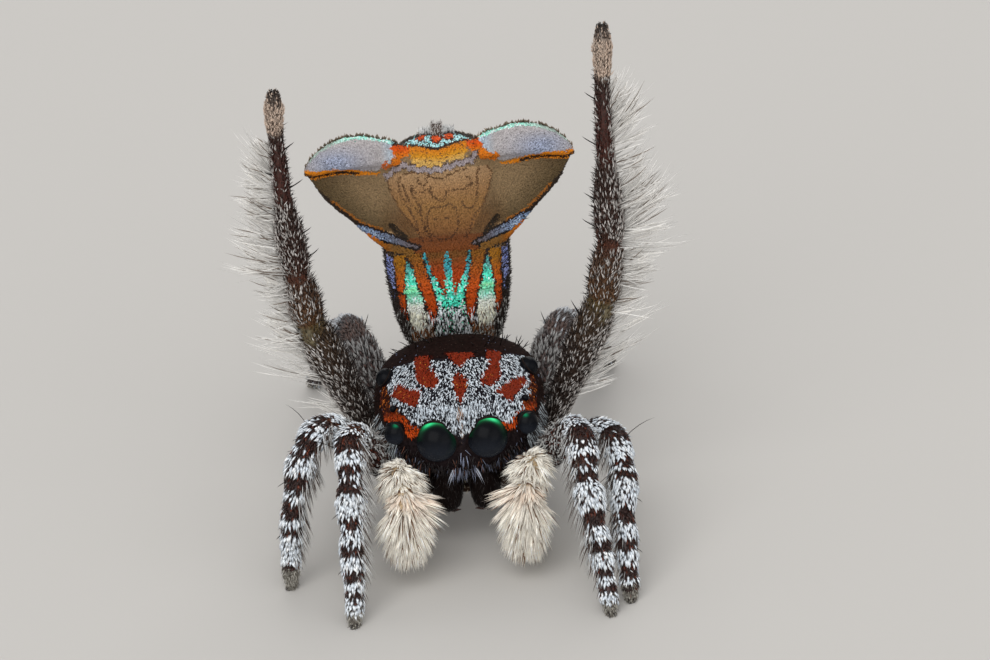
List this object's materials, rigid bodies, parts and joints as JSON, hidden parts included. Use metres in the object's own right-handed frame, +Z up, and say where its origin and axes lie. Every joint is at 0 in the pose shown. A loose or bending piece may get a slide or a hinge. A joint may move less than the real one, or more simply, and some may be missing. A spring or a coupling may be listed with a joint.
{
  "type": "peacock spider",
  "caption": "Tiny jumping spider in courtship display, its patterned fan and third legs raised, standing on six legs.",
  "frame": {"origin": "middle of the model's base, on the floor that the feet stand on", "axes": "+Z up, -Y the way the spider faces, +X the spider's left"},
  "size_m": [0.0042, 0.005, 0.0051],
  "materials": {
    "carapace": "dark glossy shell under pale grey, brick red and orange flat scales",
    "shell": "dark brown shell with sparse hair",
    "eye": "clear glossy lens, black with a green glint",
    "palp_hair": "dense cream hair",
    "leg_coat": "dark brown shell with white scale bands and long pale hairs",
    "raised_leg_coat": "dark brown shell, short grey scales and a fringe of long white hairs",
    "foot_coat": "pale beige foot with a dark tip",
    "fan": "fine flat scales in brown, orange, turquoise and green markings",
    "fan_lobe": "silvery lavender iridescent scales on the spread flaps",
    "spinneret": "dark short cones with fine hair"
  },
  "bodies": {
    "root": {"eye_front_median_L": "eye", "eye_front_median_R": "eye", "eye_front_side_L": "eye", "eye_front_side_R": "eye", "eye_middle_L": "eye", "eye_middle_R": "eye", "eye_rear_L": "eye", "eye_rear_R": "eye", "carapace": "carapace", "sternum": "shell", "labium": "shell", "chelicera_L": "shell", "chelicera_R": "shell", "pedicel": "shell", "abdomen": "fan", "fan_flap_L": "fan_lobe", "fan_flap_R": "fan_lobe", "spinnerets": "spinneret", "palp_L_femur": "palp_hair", "palp_L_cymbium": "palp_hair", "palp_R_femur": "palp_hair", "palp_R_cymbium": "palp_hair", "leg1_L_coxa_femur": "leg_coat", "leg1_L_patella_tibia": "leg_coat", "leg1_L_tarsus": "leg_coat", "leg1_R_coxa_femur": "leg_coat", "leg1_R_patella_tibia": "leg_coat", "leg1_R_tarsus": "leg_coat", "leg2_L_coxa_femur": "leg_coat", "leg2_L_patella_tibia": "leg_coat", "leg2_L_tarsus": "leg_coat", "leg2_R_coxa_femur": "leg_coat", "leg2_R_patella_tibia": "leg_coat", "leg2_R_tarsus": "leg_coat", "leg3_L_coxa_femur": "raised_leg_coat", "leg3_L_patella_tibia": "raised_leg_coat", "leg3_L_tarsus": "foot_coat", "leg3_R_coxa_femur": "raised_leg_coat", "leg3_R_patella_tibia": "raised_leg_coat", "leg3_R_tarsus": "foot_coat", "leg4_L_coxa_femur": "leg_coat", "leg4_L_patella_tibia": "leg_coat", "leg4_L_tarsus": "leg_coat", "leg4_R_coxa_femur": "leg_coat", "leg4_R_patella_tibia": "leg_coat", "leg4_R_tarsus": "leg_coat"}
  },
  "joints": []
}
